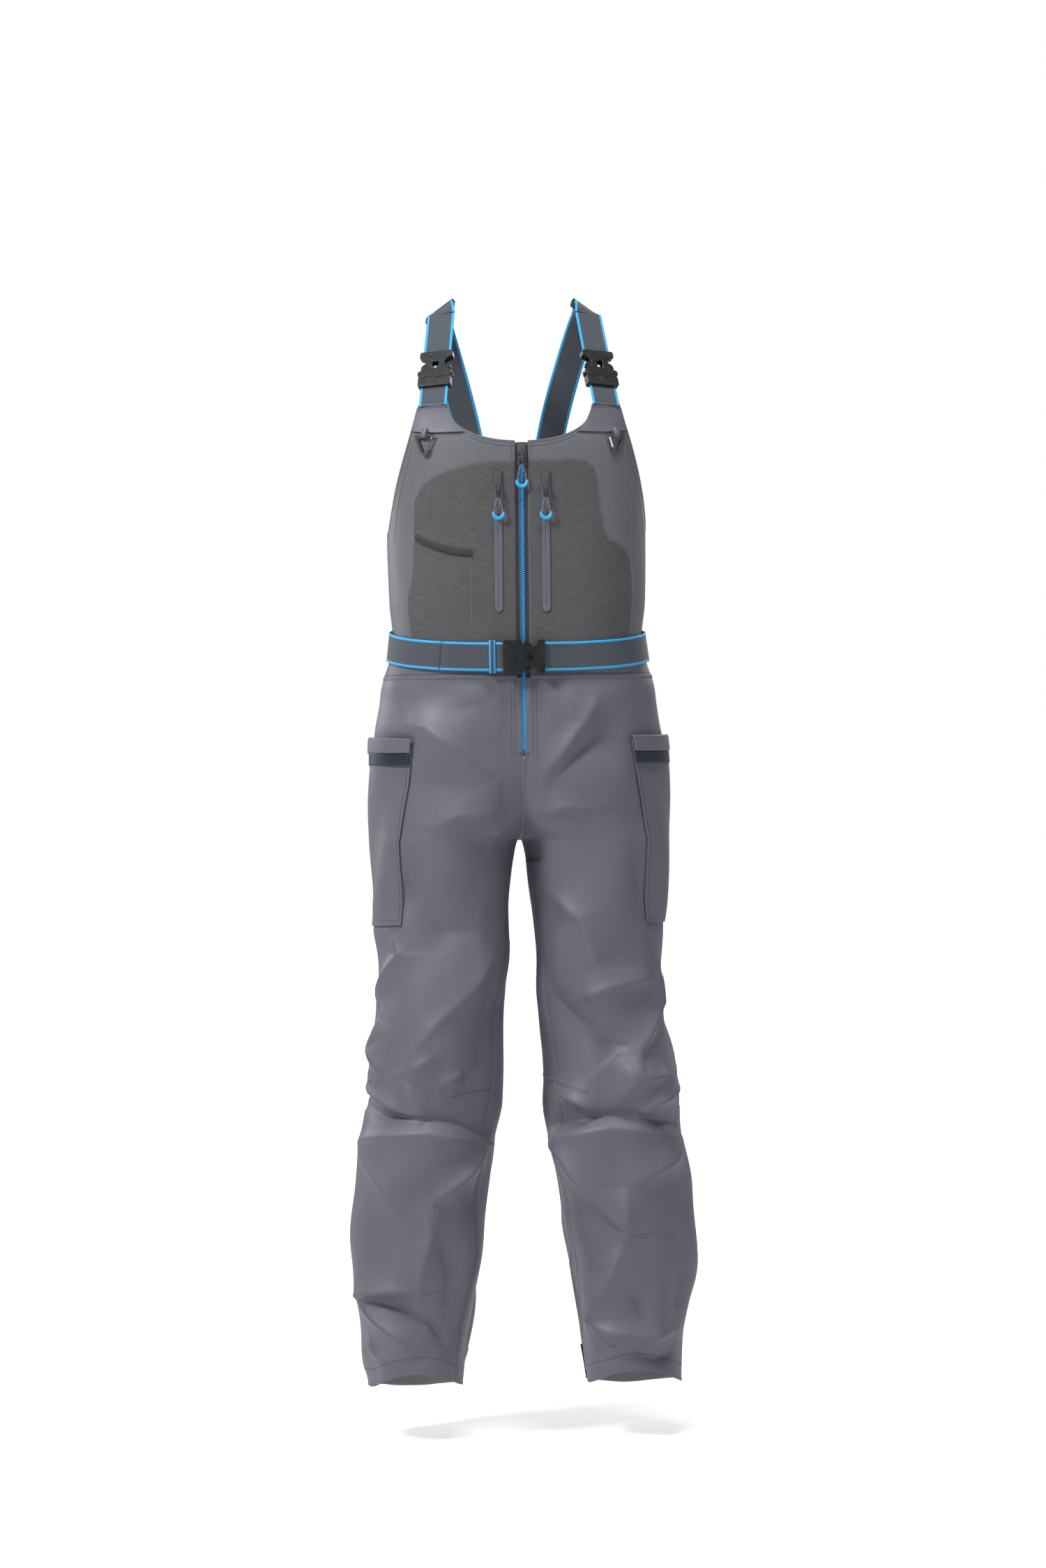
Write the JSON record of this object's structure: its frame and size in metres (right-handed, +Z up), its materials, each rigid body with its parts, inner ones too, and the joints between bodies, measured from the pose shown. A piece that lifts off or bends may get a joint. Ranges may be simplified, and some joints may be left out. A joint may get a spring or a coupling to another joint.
{
  "type": "chest waders",
  "caption": "Chest-high wading bibs in grey laminate with open cuffs, adjustable shoulder straps on side-release buckles, a zipped front, chest and cargo pockets and a waist belt.",
  "frame": {"origin": "midway between the undersides of the two shoulder straps where they cross the top of the shoulders, which hold the garment up", "axes": "+Z up, the front faces -Y, the wearer's left is +X"},
  "size_m": [0.4798, 0.265, 1.5408],
  "materials": {
    "laminate": "matt woven laminate",
    "overlay": "dark heather ripstop, matt",
    "webbing": "ribbed webbing with bright blue edges",
    "zip_tape_blue": "bright blue zip teeth on dark tape",
    "zip_tape": "woven zip tape",
    "zip_metal": "satin",
    "pull": "blue moulded grip on a cord loop",
    "moulded": "fine grain black nylon",
    "clip": "dark grey nylon",
    "steel": "bright wire",
    "binding": "dark binding tape",
    "hook": "hook-and-loop strip"
  },
  "bodies": {
    "bib_and_legs": {"bib_front_right": "laminate", "bib_front_left": "laminate", "bib_back": "laminate", "back_yoke": "laminate", "leg_front_right": "laminate", "leg_back_right": "laminate", "knee_right": "laminate", "overlay_right": "overlay", "main_zip_tape_right": "zip_tape_blue", "pocket_zip_tape_right": "zip_tape", "lower_strap_right": "webbing", "front_strap_right": "webbing", "shoulder_strap_right": "webbing", "shoulder_buckle_right_plug": "moulded", "shoulder_tab_right": "laminate", "cargo_pocket_right": "laminate", "leg_front_left": "laminate", "leg_back_left": "laminate", "knee_left": "laminate", "overlay_left": "overlay", "main_zip_tape_left": "zip_tape_blue", "pocket_zip_tape_left": "zip_tape", "lower_strap_left": "webbing", "front_strap_left": "webbing", "shoulder_strap_left": "webbing", "shoulder_buckle_left_plug": "moulded", "shoulder_tab_left": "laminate", "cargo_pocket_left": "laminate", "hand_pocket_binding": "binding", "belt_front_right": "webbing", "belt_webbing": "webbing", "belt_buckle_socket": "moulded", "belt_loop": "webbing"},
    "main_zip_slider": {"main_zip_slider": "zip_metal"},
    "main_zip_pull": {"main_zip_pull": "pull"},
    "pocket_zip_right_slider": {"pocket_zip_right_slider": "zip_metal"},
    "pocket_zip_right_pull": {"pocket_zip_right_pull": "pull"},
    "pocket_zip_left_slider": {"pocket_zip_left_slider": "zip_metal"},
    "pocket_zip_left_pull": {"pocket_zip_left_pull": "pull"},
    "shoulder_buckle_right_socket": {"shoulder_buckle_right_socket": "moulded"},
    "shoulder_buckle_right_arm_a": {"shoulder_buckle_right_arm_a": "moulded"},
    "shoulder_buckle_right_arm_b": {"shoulder_buckle_right_arm_b": "moulded"},
    "shoulder_buckle_left_socket": {"shoulder_buckle_left_socket": "moulded"},
    "shoulder_buckle_left_arm_a": {"shoulder_buckle_left_arm_a": "moulded"},
    "shoulder_buckle_left_arm_b": {"shoulder_buckle_left_arm_b": "moulded"},
    "strap_adjuster_right": {"strap_adjuster_right": "moulded"},
    "strap_adjuster_left": {"strap_adjuster_left": "moulded"},
    "gear_clip_right": {"gear_clip_right": "clip"},
    "gear_clip_gate_right": {"gear_clip_gate_right": "steel"},
    "gear_clip_left": {"gear_clip_left": "clip"},
    "gear_clip_gate_left": {"gear_clip_gate_left": "steel"},
    "cargo_flap_right": {"cargo_flap_right": "laminate"},
    "cargo_flap_left": {"cargo_flap_left": "laminate"},
    "shin_right": {"shin_right": "laminate"},
    "cuff_tab_right": {"cuff_tab_right": "hook"},
    "shin_left": {"shin_left": "laminate"},
    "cuff_tab_left": {"cuff_tab_left": "hook"},
    "belt_buckle_plug": {"belt_buckle_plug": "moulded"},
    "belt_buckle_arm_a": {"belt_buckle_arm_a": "moulded"},
    "belt_buckle_arm_b": {"belt_buckle_arm_b": "moulded"}
  },
  "joints": [
    {"name": "main_zip_slide", "type": "slide", "parent": "bib_and_legs", "child": "main_zip_slider", "axis": [0, 0, -1], "range_m": [0, 0.205]},
    {"name": "main_zip_pull_hinge", "type": "hinge", "parent": "main_zip_slider", "child": "main_zip_pull", "pos_m": [0, -0.12618, -0.217], "axis": [-1, 0, 0], "range_deg": [0, 150]},
    {"name": "pocket_zip_right_slide", "type": "slide", "parent": "bib_and_legs", "child": "pocket_zip_right_slider", "axis": [0, 0, -1], "range_m": [0, 0.155]},
    {"name": "pocket_zip_right_pull_hinge", "type": "hinge", "parent": "pocket_zip_right_slider", "child": "pocket_zip_right_pull", "pos_m": [-0.033, -0.12792, -0.263], "axis": [-1, 0, 0], "range_deg": [0, 150]},
    {"name": "pocket_zip_left_slide", "type": "slide", "parent": "bib_and_legs", "child": "pocket_zip_left_slider", "axis": [0, 0, -1], "range_m": [0, 0.155]},
    {"name": "pocket_zip_left_pull_hinge", "type": "hinge", "parent": "pocket_zip_left_slider", "child": "pocket_zip_left_pull", "pos_m": [0.033, -0.12792, -0.263], "axis": [-1, 0, 0], "range_deg": [0, 150]},
    {"name": "shoulder_buckle_right_release", "type": "slide", "parent": "bib_and_legs", "child": "shoulder_buckle_right_socket", "axis": [0.1104, 0.508, 0.8542], "range_m": [0, 0.028], "deforming": ["front_strap_right"]},
    {"name": "shoulder_buckle_right_arm_a_squeeze", "type": "hinge", "parent": "bib_and_legs", "child": "shoulder_buckle_right_arm_a", "pos_m": [-0.12793, -0.06943, -0.10382], "axis": [0.3075, 0.7999, -0.5154], "range_deg": [0, 8], "stiffness_Nm_per_rad": 0.3},
    {"name": "shoulder_buckle_right_arm_b_squeeze", "type": "hinge", "parent": "bib_and_legs", "child": "shoulder_buckle_right_arm_b", "pos_m": [-0.10336, -0.07774, -0.10205], "axis": [-0.3075, -0.7999, 0.5154], "range_deg": [0, 8], "stiffness_Nm_per_rad": 0.3},
    {"name": "shoulder_buckle_left_release", "type": "slide", "parent": "bib_and_legs", "child": "shoulder_buckle_left_socket", "axis": [-0.1104, 0.508, 0.8542], "range_m": [0, 0.028], "deforming": ["front_strap_left"]},
    {"name": "shoulder_buckle_left_arm_a_squeeze", "type": "hinge", "parent": "bib_and_legs", "child": "shoulder_buckle_left_arm_a", "pos_m": [0.12793, -0.06943, -0.10382], "axis": [0.3075, -0.7999, 0.5154], "range_deg": [0, 8], "stiffness_Nm_per_rad": 0.3},
    {"name": "shoulder_buckle_left_arm_b_squeeze", "type": "hinge", "parent": "bib_and_legs", "child": "shoulder_buckle_left_arm_b", "pos_m": [0.10336, -0.07774, -0.10205], "axis": [-0.3075, 0.7999, -0.5154], "range_deg": [0, 8], "stiffness_Nm_per_rad": 0.3},
    {"name": "strap_adjuster_right_slide", "type": "slide", "parent": "bib_and_legs", "child": "strap_adjuster_right", "axis": [0, 0.9781, -0.2079], "range_m": [0, 0.03]},
    {"name": "strap_adjuster_left_slide", "type": "slide", "parent": "bib_and_legs", "child": "strap_adjuster_left", "axis": [0, 0.9781, -0.2079], "range_m": [0, 0.03]},
    {"name": "gear_clip_right_swing", "type": "hinge", "parent": "bib_and_legs", "child": "gear_clip_right", "pos_m": [-0.13341, -0.10372, -0.185], "axis": [-0.8946, 0.4469, 0], "range_deg": [0, 90]},
    {"name": "gear_clip_gate_right_hinge", "type": "hinge", "parent": "gear_clip_right", "child": "gear_clip_gate_right", "pos_m": [-0.12805, -0.1064, -0.20275], "axis": [-0.4469, -0.8946, 0], "range_deg": [0, 22], "stiffness_Nm_per_rad": 0.02},
    {"name": "gear_clip_left_swing", "type": "hinge", "parent": "bib_and_legs", "child": "gear_clip_left", "pos_m": [0.13341, -0.10372, -0.185], "axis": [-0.8946, -0.4469, 0], "range_deg": [0, 90]},
    {"name": "gear_clip_gate_left_hinge", "type": "hinge", "parent": "gear_clip_left", "child": "gear_clip_gate_left", "pos_m": [0.12805, -0.1064, -0.20275], "axis": [-0.4469, 0.8946, 0], "range_deg": [0, 22], "stiffness_Nm_per_rad": 0.02},
    {"name": "cargo_flap_right_lift", "type": "hinge", "parent": "bib_and_legs", "child": "cargo_flap_right", "pos_m": [-0.20921, 0, -0.603], "axis": [0, 1, 0], "range_deg": [0, 60]},
    {"name": "cargo_flap_left_lift", "type": "hinge", "parent": "bib_and_legs", "child": "cargo_flap_left", "pos_m": [0.20921, 0, -0.603], "axis": [0, -1, 0], "range_deg": [0, 60]},
    {"name": "knee_right_bend", "type": "hinge", "parent": "bib_and_legs", "child": "shin_right", "pos_m": [-0.127, 0.01, -1.12], "axis": [1, 0, 0], "range_deg": [0, 60], "deforming": ["knee_right"]},
    {"name": "cuff_tab_right_peel", "type": "hinge", "parent": "shin_right", "child": "cuff_tab_right", "pos_m": [-0.1229, 0.0823, -1.486], "axis": [0, 0, 1], "range_deg": [0, 100]},
    {"name": "knee_left_bend", "type": "hinge", "parent": "bib_and_legs", "child": "shin_left", "pos_m": [0.127, 0.01, -1.12], "axis": [1, 0, 0], "range_deg": [0, 60], "deforming": ["knee_left"]},
    {"name": "cuff_tab_left_peel", "type": "hinge", "parent": "shin_left", "child": "cuff_tab_left", "pos_m": [0.1229, 0.0823, -1.486], "axis": [0, 0, -1], "range_deg": [0, 100]},
    {"name": "belt_buckle_release", "type": "slide", "parent": "bib_and_legs", "child": "belt_buckle_plug", "axis": [-1, 0, 0], "range_m": [0, 0.028], "deforming": ["belt_front_right"]},
    {"name": "belt_buckle_arm_a_squeeze", "type": "hinge", "parent": "belt_buckle_plug", "child": "belt_buckle_arm_a", "pos_m": [-0.01355, -0.1296, -0.506], "axis": [0, -1, 0], "range_deg": [0, 8], "stiffness_Nm_per_rad": 0.3},
    {"name": "belt_buckle_arm_b_squeeze", "type": "hinge", "parent": "belt_buckle_plug", "child": "belt_buckle_arm_b", "pos_m": [-0.01355, -0.1296, -0.48], "axis": [0, 1, 0], "range_deg": [0, 8], "stiffness_Nm_per_rad": 0.3}
  ],
  "couplings": [
    {"joint": "shoulder_buckle_right_arm_b_squeeze", "follows": "shoulder_buckle_right_arm_a_squeeze", "ratio": 1},
    {"joint": "shoulder_buckle_left_arm_b_squeeze", "follows": "shoulder_buckle_left_arm_a_squeeze", "ratio": 1},
    {"joint": "belt_buckle_arm_b_squeeze", "follows": "belt_buckle_arm_a_squeeze", "ratio": 1}
  ]
}
